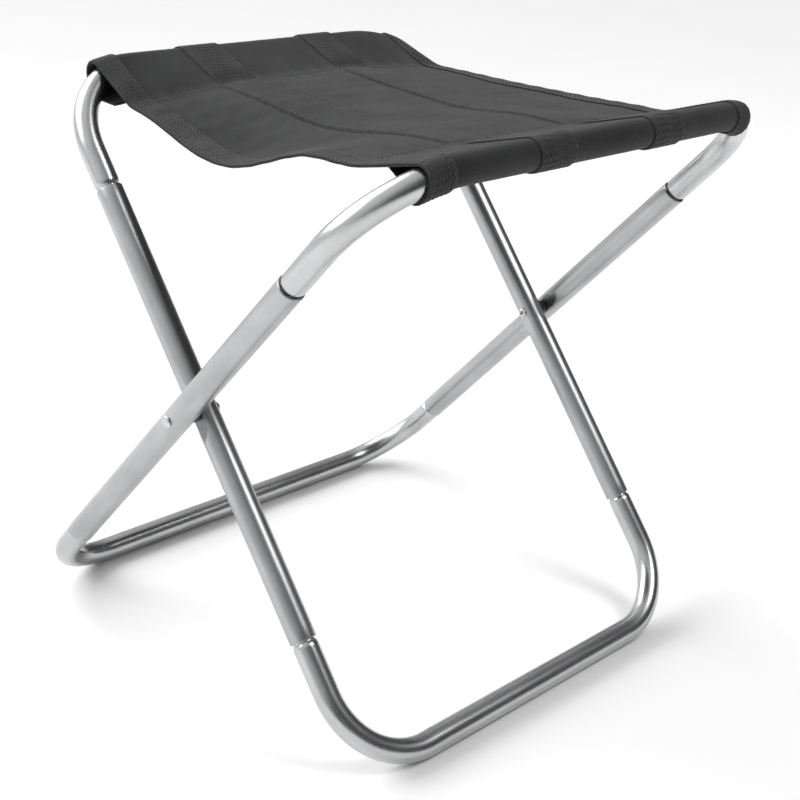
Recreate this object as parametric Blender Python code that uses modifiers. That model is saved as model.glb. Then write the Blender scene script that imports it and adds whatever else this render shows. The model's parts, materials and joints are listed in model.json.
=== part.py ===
"""Folding camp stool: two crossed tube frames, riveted together at mid-leg, with a cloth seat between them.

Frame of reference: metres, +Z up, origin on the floor below the middle of the stool.
+Y runs along the pivot line and the seat bars. The outer frame's seat bar is at +X, the inner one's at -X.
"""
import bpy
import bmesh
from math import atan, cos, pi, radians, sin

# ---- Driving dimensions -------------------------------------------------------------------------
LEG_ANGLE = radians(41.2)       # each frame leans this far from upright when the seat is taut
SIDES = 12                      # facets round a tube
BEND_STEPS = 9                  # straight runs in a quarter bend, 10 degrees each

LEG_R = 0.0080                  # leg tube, outside
LEG_WALL = 0.0012
BOW_R = 0.0076                  # bent end tubes, outside
NECK_R = 0.0062                 # end of a bow, drawn down to fit inside a leg
BOW_WALL = 0.0011
NECK_INSERT = 0.020             # how far a neck goes into a leg
NECK_SHOW = 0.0008              # neck left showing at the leg's mouth
NECK_SHOULDER = 0.0030          # length of the taper from neck to full tube

OUTER_HALF_WIDTH = 0.1615       # pivot-line distance from the middle to a leg's axis
INNER_HALF_WIDTH = 0.1430
PIVOT_TO_FLOOR_BAR = 0.2257     # along the leg, to the axis of the bar on the floor
OUTER_PIVOT_TO_SEAT_BAR = 0.2325
INNER_PIVOT_TO_SEAT_BAR = 0.2225
OUTER_LEG_UP = 0.1430           # leg tube, from pivot to upper mouth
OUTER_LEG_DOWN = 0.1580
INNER_LEG_UP = 0.1445
INNER_LEG_DOWN = 0.1430
OUTER_SEAT_BEND_R = 0.056       # bends of the upper bows, on the tube's axis
INNER_SEAT_BEND_R = 0.052
FLOOR_BEND_R = 0.050            # bends of the lower bows

DIMPLE_DEPTH = 0.0018           # legs are pressed flat where they cross
DIMPLE_HALF_LENGTH = 0.0105
DIMPLE_RUNOUT = 0.0075
RIVET_R = 0.0020
RIVET_HOLE_R = 0.0023
RIVET_HEAD_R = 0.0038
RIVET_HEAD_HEIGHT = 0.0017
RIVET_TAIL_R = 0.0031
RIVET_TAIL_HEIGHT = 0.0012
SPACER_R = 0.0050
GAP = 0.0003                    # between pieces that touch

CLOTH = 0.0014                  # seat cloth and its hems, as one thickness
SEAT_SHIFT = 0.004              # the seat sits this far towards +Y on its bars
SEAT_HALF_WIDTH = 0.1310
SEAT_SAG = 0.0250               # the middle of the seat below its ends
EDGE_DROOP = 0.0160             # how much lower the edge at -Y hangs
EDGE_DROOP_WIDTH = 0.0600
LOWEST_AT = 0.44                # where the sag is deepest, from the outer bar (0) to the inner bar (1)
OUTER_SAG_POWER = 1.6           # the cloth leaves the outer bar in a gentle slope
INNER_SAG_POWER = 4.0           # and comes up to the inner bar in a steep one
POCKET_STEPS_OUTER = (3, 3)     # bend steps covered by a pocket, at its -Y end and at its +Y end
POCKET_STEPS_INNER = (3, 6)
STRAP_THICKNESS = 0.0012
STRAP_DROP = 0.0023             # straps lie this far below the middle of the cloth
STRAP_WIDTH = 0.0300            # two middle straps
EDGE_STRAP_WIDTH = 0.0180       # two straps along the side edges
MIDDLE_STRAP_OFFSET = 0.0485
EDGE_STRAP_OFFSET = 0.1220
STRAP_SPAN = (0.10, 0.90)       # straps stop short of the bars, as a share of the way across

# Each tube is a prism of SIDES facets. A facet's middle is nearer to the axis than its corners.
FACET = cos(pi / SIDES)
POCKET_R = BOW_R + GAP + CLOTH
SEAT_REST_R = POCKET_R + GAP + 0.5 * CLOTH
PIVOT_HEIGHT = BOW_R * FACET + PIVOT_TO_FLOOR_BAR * cos(LEG_ANGLE)
PIVOT_X = 0.5 * (INNER_PIVOT_TO_SEAT_BAR - OUTER_PIVOT_TO_SEAT_BAR) * sin(LEG_ANGLE)


# ---- Scene --------------------------------------------------------------------------------------
def clear_scene():
    for obj in list(bpy.data.objects):
        bpy.data.objects.remove(obj, do_unlink=True)


def new_collection(name):
    collection = bpy.data.collections.new(name)
    bpy.context.scene.collection.children.link(collection)
    return collection


def new_material(name, color, roughness, metallic):
    material = bpy.data.materials.new(name)
    material.use_nodes = True
    shader = material.node_tree.nodes["Principled BSDF"]
    shader.inputs["Base Color"].default_value = (*color, 1.0)
    shader.inputs["Roughness"].default_value = roughness
    shader.inputs["Metallic"].default_value = metallic
    return material


def new_object(name, data, collection, material=None, parent=None):
    obj = bpy.data.objects.new(name, data)
    collection.objects.link(obj)
    if material is not None:
        data.materials.append(material)
    obj.parent = parent
    return obj


def frame_axis(name, lean, collection):
    """An empty on the pivot line: its Z runs up the legs of one frame, its Y along the pivot."""
    empty = bpy.data.objects.new(name, None)
    collection.objects.link(empty)
    empty.location = (PIVOT_X, 0.0, PIVOT_HEIGHT)
    empty.rotation_euler = (0.0, lean, 0.0)
    return empty


# ---- Tubes --------------------------------------------------------------------------------------
def tube_surface(name, points, radii, radius, tilt):
    """An open tube wall along a polyline, in a frame's own axes, as a mesh."""
    curve = bpy.data.curves.new(name + "_path", "CURVE")
    curve.dimensions = "3D"
    curve.twist_mode = "MINIMUM"
    curve.bevel_depth = radius
    curve.bevel_resolution = (SIDES - 4) // 2
    curve.use_fill_caps = False
    spline = curve.splines.new("POLY")
    spline.points.add(len(points) - 1)
    for target, point, size in zip(spline.points, points, radii):
        target.co = (*point, 1.0)
        target.radius = size / radius
        target.tilt = tilt
    guide = bpy.data.objects.new(name + "_guide", curve)
    bpy.context.scene.collection.objects.link(guide)
    depsgraph = bpy.context.evaluated_depsgraph_get()
    mesh = bpy.data.meshes.new_from_object(guide.evaluated_get(depsgraph))
    bpy.data.objects.remove(guide)
    mesh.name = name
    weld_and_face_outwards(mesh)
    return mesh


def weld_and_face_outwards(mesh):
    work = bmesh.new()
    work.from_mesh(mesh)
    bmesh.ops.remove_doubles(work, verts=work.verts, dist=1e-6)
    bmesh.ops.recalc_face_normals(work, faces=work.faces)
    work.to_mesh(mesh)
    work.free()


def give_wall(obj, thickness):
    """Thickness is added inwards, so the surface stays the tube's outside."""
    wall = obj.modifiers.new("wall", "SOLIDIFY")
    wall.thickness = thickness
    wall.offset = -1.0
    wall.use_even_offset = True


def bow_path(half_width, bar_height, mouth_height, bend_r):
    """Points (x, y, z) and radii of a U-shaped bow: neck, shoulder, bend, bar, bend, shoulder, neck.

    Heights run along the legs from the pivot. A bow below the pivot has its bar at a negative height.
    """
    side = 1.0 if bar_height > 0.0 else -1.0
    mouth = abs(mouth_height)
    bend_start = abs(bar_height) - bend_r
    shoulder = mouth + NECK_SHOW + NECK_SHOULDER
    half = [
        (half_width, mouth - NECK_INSERT, NECK_R),
        (half_width, mouth + NECK_SHOW, NECK_R),
        (half_width, mouth + NECK_SHOW + 0.4 * NECK_SHOULDER, 0.35 * NECK_R + 0.65 * BOW_R),
        (half_width, shoulder, BOW_R),
    ]
    for i in range(BEND_STEPS + 1):
        turn = 0.5 * pi * i / BEND_STEPS
        across = half_width - bend_r + bend_r * cos(turn)
        up = bend_start + bend_r * sin(turn)
        half.append((across, up, BOW_R))
    near = [(0.0, -across, side * up) for across, up, _ in half]
    far = [(0.0, across, side * up) for across, up, _ in reversed(half)]
    radii = [size for _, _, size in half]
    return near + far, radii + radii[::-1]


def make_bow(name, half_width, bar_height, mouth_height, bend_r, tilt, collection, material, parent):
    points, radii = bow_path(half_width, bar_height, mouth_height, bend_r)
    mesh = tube_surface(name, points, radii, BOW_R, tilt)
    bow = new_object(name, mesh, collection, material, parent)
    give_wall(bow, BOW_WALL)
    mesh.shade_smooth()
    mesh.set_sharp_from_angle(angle=radians(50))
    return bow


def leg_stations(up, down):
    """Heights of the rings along a leg: its two mouths and the dimple's edges."""
    flat = DIMPLE_HALF_LENGTH
    runout = flat + DIMPLE_RUNOUT
    return [-down, -runout, -flat - 0.5 * DIMPLE_RUNOUT, -flat, flat, flat + 0.5 * DIMPLE_RUNOUT, runout, up]


def press_dimple(mesh, leg_y, mating_side):
    """Press the mating side flat: full depth over the flat, fading out along the runout."""
    for vertex in mesh.vertices:
        past_flat = (abs(vertex.co.z) - DIMPLE_HALF_LENGTH) / DIMPLE_RUNOUT
        fade = min(max(past_flat, 0.0), 1.0)
        depth = DIMPLE_DEPTH * (1.0 - fade * fade * (3.0 - 2.0 * fade))
        limit = LEG_R - depth
        reach = (vertex.co.y - leg_y) * mating_side
        if reach > limit:
            vertex.co.y = leg_y + limit * mating_side


def make_leg(name, leg_y, mating_side, up, down, cutter, collection, material, parent):
    heights = leg_stations(up, down)
    points = [(0.0, leg_y, height) for height in heights]
    mesh = tube_surface(name, points, [LEG_R] * len(points), LEG_R, pi / SIDES)
    press_dimple(mesh, leg_y, mating_side)
    leg = new_object(name, mesh, collection, material, parent)
    give_wall(leg, LEG_WALL)
    hole = leg.modifiers.new("rivet_hole", "BOOLEAN")
    hole.operation = "DIFFERENCE"
    hole.solver = "EXACT"
    hole.object = cutter
    mesh.shade_smooth()
    mesh.set_sharp_from_angle(angle=radians(50))
    return leg


# ---- Pivot --------------------------------------------------------------------------------------
def make_hole_cutter(collection):
    """One long rod on the pivot line drills all four legs."""
    mesh = bpy.data.meshes.new("rivet_hole_cutter")
    work = bmesh.new()
    bmesh.ops.create_cone(
        work, cap_ends=True, segments=12, radius1=RIVET_HOLE_R, radius2=RIVET_HOLE_R,
        depth=2.0 * OUTER_HALF_WIDTH + 0.060)
    work.to_mesh(mesh)
    work.free()
    cutter = new_object("rivet_hole_cutter", mesh, collection)
    cutter.location = (PIVOT_X, 0.0, PIVOT_HEIGHT)
    cutter.rotation_euler = (0.5 * pi, 0.0, 0.0)
    cutter.hide_render = True
    cutter.display_type = "WIRE"
    return cutter


def turned(name, profile, steps, collection, material, parent):
    """A profile of (radius, height) points, listed down its outer side, spun once round local Z."""
    mesh = bpy.data.meshes.new(name)
    vertices = [(radius, 0.0, height) for radius, height in profile]
    edges = [(i, i + 1) for i in range(len(vertices) - 1)]
    mesh.from_pydata(vertices, edges, [])
    obj = new_object(name, mesh, collection, material, parent)
    screw = obj.modifiers.new("spin", "SCREW")
    screw.steps = steps
    screw.render_steps = steps
    screw.use_merge_vertices = True
    screw.merge_threshold = 0.00001
    screw.use_smooth_shade = True
    return obj


def rivet_profile():
    """Domed head at the top, hollow-ended flared tail at the bottom; height 0 is the head's underside."""
    grip = OUTER_HALF_WIDTH - INNER_HALF_WIDTH + 2.0 * (LEG_R * FACET + GAP)
    dome = []
    for i in range(5):
        turn = 0.5 * pi * i / 4
        dome.append((RIVET_HEAD_R * sin(turn), 0.0004 + (RIVET_HEAD_HEIGHT - 0.0004) * cos(turn)))
    dome[0] = (0.0, RIVET_HEAD_HEIGHT)
    tail = -grip - RIVET_TAIL_HEIGHT
    return dome + [
        (RIVET_HEAD_R, 0.0),
        (RIVET_R, 0.0),
        (RIVET_R, -grip),
        (RIVET_TAIL_R, -grip),
        (RIVET_TAIL_R - 0.0004, tail),
        (0.5 * RIVET_R, tail),
        (0.4 * RIVET_R, tail + 0.0012),
        (0.0, tail + 0.0012),
    ]


def make_rivet(name, side, collection, material, parent):
    rivet = turned(name, rivet_profile(), 16, collection, material, parent)
    rivet.location = (0.0, side * (OUTER_HALF_WIDTH + LEG_R * FACET + GAP), 0.0)
    rivet.rotation_euler = (-0.5 * pi * side, 0.0, 0.0)
    return rivet


def make_spacer(name, side, collection, material, parent):
    """A plain ring between the two pressed flats."""
    room = (OUTER_HALF_WIDTH - INNER_HALF_WIDTH) - 2.0 * (LEG_R - DIMPLE_DEPTH)
    half = 0.5 * room - GAP
    profile = [
        (RIVET_HOLE_R, half), (SPACER_R - 0.0004, half), (SPACER_R, half - 0.0004),
        (SPACER_R, 0.0004 - half), (SPACER_R - 0.0004, -half), (RIVET_HOLE_R, -half),
        (RIVET_HOLE_R, half),
    ]
    spacer = turned(name, profile, 20, collection, material, parent)
    spacer.location = (0.0, side * 0.5 * (OUTER_HALF_WIDTH + INNER_HALF_WIDTH), 0.0)
    spacer.rotation_euler = (-0.5 * pi * side, 0.0, 0.0)
    return spacer


# ---- Seat ---------------------------------------------------------------------------------------
def seat_sag(y):
    """Depth of the sag at y: even across the seat, and deeper towards the edge at -Y."""
    from_edge = (y - SEAT_SHIFT + SEAT_HALF_WIDTH) / EDGE_DROOP_WIDTH
    near_edge = min(max(1.0 - from_edge, 0.0), 1.0)
    return SEAT_SAG + EDGE_DROOP * near_edge ** 2


def sag_share(t):
    """Share of the full sag, t of the way from the outer bar to the inner bar."""
    if t < LOWEST_AT:
        return 1.0 - (1.0 - t / LOWEST_AT) ** OUTER_SAG_POWER
    return 1.0 - ((t - LOWEST_AT) / (1.0 - LOWEST_AT)) ** INNER_SAG_POWER


def seat_point(t, y):
    """World position of the cloth's middle surface. Its ends lie on the pockets, where it is tangent."""
    span = (OUTER_PIVOT_TO_SEAT_BAR + INNER_PIVOT_TO_SEAT_BAR) * sin(LEG_ANGLE)
    outer_turn = atan(OUTER_SAG_POWER / LOWEST_AT * seat_sag(y) / span)
    inner_turn = atan(INNER_SAG_POWER / (1.0 - LOWEST_AT) * seat_sag(y) / span)
    outer_x = PIVOT_X + OUTER_PIVOT_TO_SEAT_BAR * sin(LEG_ANGLE) - SEAT_REST_R * sin(outer_turn)
    inner_x = PIVOT_X - INNER_PIVOT_TO_SEAT_BAR * sin(LEG_ANGLE) + SEAT_REST_R * sin(inner_turn)
    outer_z = PIVOT_HEIGHT + OUTER_PIVOT_TO_SEAT_BAR * cos(LEG_ANGLE) + SEAT_REST_R * cos(outer_turn)
    inner_z = PIVOT_HEIGHT + INNER_PIVOT_TO_SEAT_BAR * cos(LEG_ANGLE) + SEAT_REST_R * cos(inner_turn)
    x = outer_x + (inner_x - outer_x) * t
    z = outer_z + (inner_z - outer_z) * t - seat_sag(y) * sag_share(t)
    return x, y, z


def hung_sheet(name, span, middle_y, width, steps, drop, thickness, collection, material):
    """A grid laid on the seat's surface, lowered by drop and thickened about its middle."""
    mesh = bpy.data.meshes.new(name)
    work = bmesh.new()
    bmesh.ops.create_grid(work, x_segments=steps[0], y_segments=steps[1], size=0.5)
    for vertex in work.verts:
        t = span[0] + (span[1] - span[0]) * (0.5 - vertex.co.x)
        x, y, z = seat_point(t, middle_y + width * vertex.co.y)
        vertex.co = (x, y, z - drop)
    work.to_mesh(mesh)
    work.free()
    sheet = new_object(name, mesh, collection, material)
    solid = sheet.modifiers.new("thickness", "SOLIDIFY")
    solid.thickness = thickness
    solid.offset = 0.0
    mesh.shade_smooth()
    mesh.set_sharp_from_angle(angle=radians(50))
    return sheet


def make_seat_panel(collection, material):
    return hung_sheet("seat_panel", (0.0, 1.0), SEAT_SHIFT, 2.0 * SEAT_HALF_WIDTH, (20, 12), 0.0, CLOTH,
                      collection, material)


def make_strap(name, offset, width, collection, material):
    """A flat strap under the seat, clear of the cloth above it."""
    return hung_sheet(name, STRAP_SPAN, SEAT_SHIFT + offset, width, (16, 2), STRAP_DROP, STRAP_THICKNESS,
                      collection, material)


def make_pocket(name, half_width, bar_height, bend_r, end_steps, collection, material, parent):
    """The pocket round a seat bar, a sleeve that follows the bow a little way into both bends."""
    points = []
    for side, covered in ((-1.0, end_steps[0]), (1.0, end_steps[1])):
        bend = []
        for i in range(covered + 1):
            turn = 0.5 * pi * i / BEND_STEPS
            across = half_width - bend_r + bend_r * sin(turn)
            up = bar_height - bend_r + bend_r * cos(turn)
            bend.append((0.0, side * across, up))
        points += bend[::-1] if side < 0.0 else bend
    mesh = tube_surface(name, points, [POCKET_R] * len(points), POCKET_R, pi / SIDES)
    pocket = new_object(name, mesh, collection, material, parent)
    give_wall(pocket, CLOTH)
    mesh.shade_smooth()
    mesh.set_sharp_from_angle(angle=radians(50))
    return pocket


# ---- Assembly -----------------------------------------------------------------------------------
def main():
    clear_scene()
    stool = new_collection("camp_stool")
    cutters = new_collection("cutters")
    leg_metal = new_material("leg_tube", (0.72, 0.73, 0.74), 0.38, 1.0)
    bow_metal = new_material("bow_tube", (0.80, 0.81, 0.81), 0.22, 1.0)
    rivet_metal = new_material("rivet_steel", (0.62, 0.62, 0.63), 0.30, 1.0)
    spacer_nylon = new_material("spacer_nylon", (0.03, 0.03, 0.03), 0.50, 0.0)
    cloth = new_material("seat_cloth", (0.030, 0.032, 0.034), 0.85, 0.0)
    webbing = new_material("strap_webbing", (0.036, 0.038, 0.040), 0.90, 0.0)

    outer = frame_axis("outer_frame_axis", LEG_ANGLE, stool)
    inner = frame_axis("inner_frame_axis", -LEG_ANGLE, stool)
    cutter = make_hole_cutter(cutters)

    # Each lower bow is turned about its own axis until one facet of its bar lies on the floor.
    facet = pi / SIDES
    make_bow("outer_top_bow", OUTER_HALF_WIDTH, OUTER_PIVOT_TO_SEAT_BAR, OUTER_LEG_UP, OUTER_SEAT_BEND_R,
             facet, stool, bow_metal, outer)
    make_bow("outer_bottom_bow", OUTER_HALF_WIDTH, -PIVOT_TO_FLOOR_BAR, OUTER_LEG_DOWN, FLOOR_BEND_R,
             facet - LEG_ANGLE, stool, bow_metal, outer)
    make_bow("inner_top_bow", INNER_HALF_WIDTH, INNER_PIVOT_TO_SEAT_BAR, INNER_LEG_UP, INNER_SEAT_BEND_R,
             facet, stool, bow_metal, inner)
    make_bow("inner_bottom_bow", INNER_HALF_WIDTH, -PIVOT_TO_FLOOR_BAR, INNER_LEG_DOWN, FLOOR_BEND_R,
             facet + LEG_ANGLE, stool, bow_metal, inner)

    for side_name, side in (("left", -1.0), ("right", 1.0)):
        make_leg("outer_leg_" + side_name, side * OUTER_HALF_WIDTH, -side, OUTER_LEG_UP, OUTER_LEG_DOWN,
                 cutter, stool, leg_metal, outer)
        make_leg("inner_leg_" + side_name, side * INNER_HALF_WIDTH, side, INNER_LEG_UP, INNER_LEG_DOWN,
                 cutter, stool, leg_metal, inner)
        make_rivet("pivot_rivet_" + side_name, side, stool, rivet_metal, outer)
        make_spacer("pivot_spacer_" + side_name, side, stool, spacer_nylon, outer)

    make_seat_panel(stool, cloth)
    make_pocket("seat_pocket_outer", OUTER_HALF_WIDTH, OUTER_PIVOT_TO_SEAT_BAR, OUTER_SEAT_BEND_R,
                POCKET_STEPS_OUTER, stool, cloth, outer)
    make_pocket("seat_pocket_inner", INNER_HALF_WIDTH, INNER_PIVOT_TO_SEAT_BAR, INNER_SEAT_BEND_R,
                POCKET_STEPS_INNER, stool, cloth, inner)
    make_strap("edge_strap_left", -EDGE_STRAP_OFFSET, EDGE_STRAP_WIDTH, stool, webbing)
    make_strap("middle_strap_left", -MIDDLE_STRAP_OFFSET, STRAP_WIDTH, stool, webbing)
    make_strap("middle_strap_right", MIDDLE_STRAP_OFFSET, STRAP_WIDTH, stool, webbing)
    make_strap("edge_strap_right", EDGE_STRAP_OFFSET, EDGE_STRAP_WIDTH, stool, webbing)


main()
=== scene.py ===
import json
import bmesh
import bpy
import numpy as np
from mathutils import Matrix, Vector


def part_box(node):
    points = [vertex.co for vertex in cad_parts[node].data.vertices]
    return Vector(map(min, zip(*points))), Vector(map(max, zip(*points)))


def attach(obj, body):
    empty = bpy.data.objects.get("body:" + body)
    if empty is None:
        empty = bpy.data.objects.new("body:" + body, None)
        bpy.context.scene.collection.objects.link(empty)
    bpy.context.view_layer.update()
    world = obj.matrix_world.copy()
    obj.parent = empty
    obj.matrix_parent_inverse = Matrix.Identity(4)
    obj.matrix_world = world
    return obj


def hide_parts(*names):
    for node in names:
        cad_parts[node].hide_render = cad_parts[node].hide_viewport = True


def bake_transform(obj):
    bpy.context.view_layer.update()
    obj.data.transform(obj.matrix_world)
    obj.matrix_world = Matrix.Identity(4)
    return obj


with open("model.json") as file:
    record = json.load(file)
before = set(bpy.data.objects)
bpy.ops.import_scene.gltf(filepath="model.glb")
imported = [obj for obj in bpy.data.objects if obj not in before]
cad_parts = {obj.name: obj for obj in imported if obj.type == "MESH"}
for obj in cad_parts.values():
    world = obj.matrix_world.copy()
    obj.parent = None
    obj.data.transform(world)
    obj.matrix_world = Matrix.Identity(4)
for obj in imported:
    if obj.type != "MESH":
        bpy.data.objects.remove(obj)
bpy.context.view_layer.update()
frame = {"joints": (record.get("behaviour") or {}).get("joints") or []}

# ---- Leg tubes ----------------------------------------------------------------------------------
# Four straight lengths of drawn aluminium tube, 16 mm across, cut square, deburred and satin anodised.
# Where two of them cross, their facing sides are pressed flat, which leaves a spoon-shaped run-out at
# each end of the flat. A rivet through the flats joins the two frames.
LEAN = np.radians(41.2)
PIVOT = np.array(frame["joints"][0]["pos_m"])
LEG_R = 0.0080
LEG_WALL = 0.0012
LIP = 0.00035
FLAT_DEPTH = 0.0018
FLAT_HALF = 0.0090
FLAT_RUNOUT = 0.0110
AROUND = 56
OUTER_UP, OUTER_DOWN = 0.1430, 0.1580
INNER_UP, INNER_DOWN = 0.1445, 0.1430


def middle_y(node):
    """The middle of a CAD node's box along Y."""
    low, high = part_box(node)
    return 0.5 * (low.y + high.y)


OUTER_Y = middle_y("outer_leg_right")
INNER_Y = middle_y("inner_leg_right")


def ease(x):
    """Smooth step: 0 below 0, 1 above 1, and 3x^2 - 2x^3 between."""
    x = np.clip(x, 0.0, 1.0)
    return x * x * (3.0 - 2.0 * x)


def leg_axes(lean_to):
    """Unit vectors of a leaning frame: up along its legs, and square to its plane."""
    up = np.array([lean_to * np.sin(LEAN), 0.0, np.cos(LEAN)])
    square = np.array([lean_to * np.cos(LEAN), 0.0, -np.sin(LEAN)])
    return up, square


def grid_mesh(name, points, uv, ring_i=False, ring_j=False, caps=False):
    """A surface on an (n, m) grid of points, closed in either direction if asked.

    uv has one more row or column than points in each closed direction, so that a seam keeps its own value.
    With caps, the first and last rows, which are rings, are closed by one face each. If the closed
    surface has a negative volume, its faces are turned over.
    """
    n, m = points.shape[:2]
    i, j = np.meshgrid(np.arange(n if ring_i else n - 1), np.arange(m if ring_j else m - 1), indexing="ij")
    corners_i = np.stack([i, i, i + 1, i + 1], -1).reshape(-1, 4)
    corners_j = np.stack([j, j + 1, j + 1, j], -1).reshape(-1, 4)
    faces = (corners_i % n) * m + corners_j % m
    face_uv = uv[corners_i, corners_j]
    flat = points.reshape(-1, 3)
    a, b, c, d = (flat[faces[:, k]] for k in range(4))
    volume = (a * np.cross(b, c)).sum() + (a * np.cross(c, d)).sum()
    if volume < 0.0:
        faces, face_uv = faces[:, ::-1], face_uv[:, ::-1]
    loops = faces.ravel()
    sizes = np.full(len(faces), 4)
    if caps:
        first, last = np.arange(m), (n - 1) * m + np.arange(m)
        ends = [last, first[::-1]] if volume < 0.0 else [last[::-1], first]
        loops = np.concatenate([loops, *ends])
        sizes = np.concatenate([sizes, [m, m]])
        cap_uv = np.stack([uv[(k // m), (k % m)] for k in ends]).reshape(-1, 2)
        face_uv = np.concatenate([face_uv.reshape(-1, 2), cap_uv])
    mesh = bpy.data.meshes.new(name)
    mesh.vertices.add(len(flat))
    mesh.vertices.foreach_set("co", flat.astype(np.float32).ravel())
    mesh.loops.add(len(loops))
    mesh.loops.foreach_set("vertex_index", loops.astype(np.int32))
    mesh.polygons.add(len(sizes))
    mesh.polygons.foreach_set("loop_start", np.concatenate([[0], np.cumsum(sizes)[:-1]]).astype(np.int32))
    mesh.update(calc_edges=True)
    layer = mesh.uv_layers.new(name="cut")
    layer.data.foreach_set("uv", face_uv.reshape(-1, 2).astype(np.float32).ravel())
    mesh.shade_smooth()
    return mesh


def add_piece(name, mesh, material):
    """A new object at the origin, unturned, with one material."""
    piece = bpy.data.objects.new(name, mesh)
    bpy.context.scene.collection.objects.link(piece)
    mesh.materials.append(material)
    return piece


def pipe_outline(stations, radii, wall):
    """A pipe wall's outline as (station, radius): along the outside, round the far lip, back along the
    inside, and round the near lip. Each lip is two quarter circles."""
    turn = np.linspace(0.0, 0.5 * np.pi, 5)
    near, far = stations[0], stations[-1]
    near_r, far_r = radii[0], radii[-1]
    s = [
        near + LIP - LIP * np.sin(turn[::-1]), stations[1:-1], far - LIP + LIP * np.sin(turn),
        far - LIP + LIP * np.cos(turn), stations[1:-1][::-1], near + LIP - LIP * np.cos(turn[::-1]),
    ]
    r = [
        near_r - LIP + LIP * np.cos(turn[::-1]), radii[1:-1], far_r - LIP + LIP * np.cos(turn),
        far_r - wall + LIP - LIP * np.sin(turn), radii[1:-1][::-1] - wall,
        near_r - wall + LIP - LIP * np.sin(turn[::-1]),
    ]
    return np.concatenate(s), np.concatenate(r)


def new_material(name, color, roughness, metallic):
    """A shader with a pattern's texture coordinates ready: the piece's own UV map, in metres."""
    material = bpy.data.materials.new(name)
    material.use_nodes = True
    nodes = material.node_tree.nodes
    shader = nodes["Principled BSDF"]
    shader.inputs["Base Color"].default_value = (*color, 1.0)
    shader.inputs["Roughness"].default_value = roughness
    shader.inputs["Metallic"].default_value = metallic
    cut = nodes.new("ShaderNodeUVMap")
    cut.uv_map = "cut"
    return material, nodes, material.node_tree.links, shader, cut


def scaled_noise(nodes, links, source, scale, detail, size=1.0):
    """Noise on coordinates multiplied by scale, a triple of cycles per metre."""
    mapping = nodes.new("ShaderNodeMapping")
    mapping.inputs["Scale"].default_value = scale
    links.new(source, mapping.inputs["Vector"])
    noise = nodes.new("ShaderNodeTexNoise")
    noise.inputs["Scale"].default_value = size
    noise.inputs["Detail"].default_value = detail
    links.new(mapping.outputs["Vector"], noise.inputs["Vector"])
    return noise.outputs["Fac"]


def ranged(nodes, links, value, low, high, from_low=0.3, from_high=0.7):
    """value, spread from its usual range to low..high."""
    spread = nodes.new("ShaderNodeMapRange")
    spread.inputs["From Min"].default_value = from_low
    spread.inputs["From Max"].default_value = from_high
    spread.inputs["To Min"].default_value = low
    spread.inputs["To Max"].default_value = high
    links.new(value, spread.inputs["Value"])
    return spread.outputs["Result"]


def two_tone(nodes, links, value, dark, light, socket):
    """A colour between dark and light by value."""
    ramp = nodes.new("ShaderNodeValToRGB")
    ramp.color_ramp.elements[0].color = (*dark, 1.0)
    ramp.color_ramp.elements[1].color = (*light, 1.0)
    links.new(value, ramp.inputs["Fac"])
    links.new(ramp.outputs["Color"], socket)


def bumped(nodes, links, shader, height, distance, strength):
    """Tilts the surface's shading by the slope of height times distance."""
    bump = nodes.new("ShaderNodeBump")
    bump.inputs["Distance"].default_value = distance
    bump.inputs["Strength"].default_value = strength
    links.new(height, bump.inputs["Height"])
    links.new(bump.outputs["Normal"], shader.inputs["Normal"])


def drawn_aluminium(name, dark, light, rough_low, rough_high, grain):
    """Anodised tube: drawing lines along its length, a fine grain, and faint cloudiness."""
    material, nodes, links, shader, cut = new_material(name, light, rough_high, 1.0)
    uv = cut.outputs["UV"]
    lines = scaled_noise(nodes, links, uv, (2600.0, 22.0, 1.0), 3.0)
    specks = scaled_noise(nodes, links, uv, (1500.0, 900.0, 1.0), 2.0)
    clouds = scaled_noise(nodes, links, uv, (60.0, 26.0, 1.0), 4.0)
    links.new(ranged(nodes, links, lines, rough_low, rough_high), shader.inputs["Roughness"])
    two_tone(nodes, links, ranged(nodes, links, clouds, 0.0, 1.0), dark, light, shader.inputs["Base Color"])
    both = nodes.new("ShaderNodeMath")
    both.operation = "ADD"
    links.new(lines, both.inputs[0])
    links.new(specks, both.inputs[1])
    bumped(nodes, links, shader, both.outputs["Value"], 0.00002, grain)
    return material


satin_aluminium = drawn_aluminium(
    "satin_aluminium", (0.38, 0.385, 0.39), (0.48, 0.485, 0.49), 0.28, 0.39, 0.55)


def leg_stations(up, down):
    """Close together over the pressed flat, and further apart elsewhere."""
    reach = FLAT_HALF + FLAT_RUNOUT + 0.001
    return np.concatenate([
        np.linspace(-down, -reach, 16)[:-1], np.linspace(-reach, reach, 49), np.linspace(reach, up, 16)[1:]])


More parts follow.
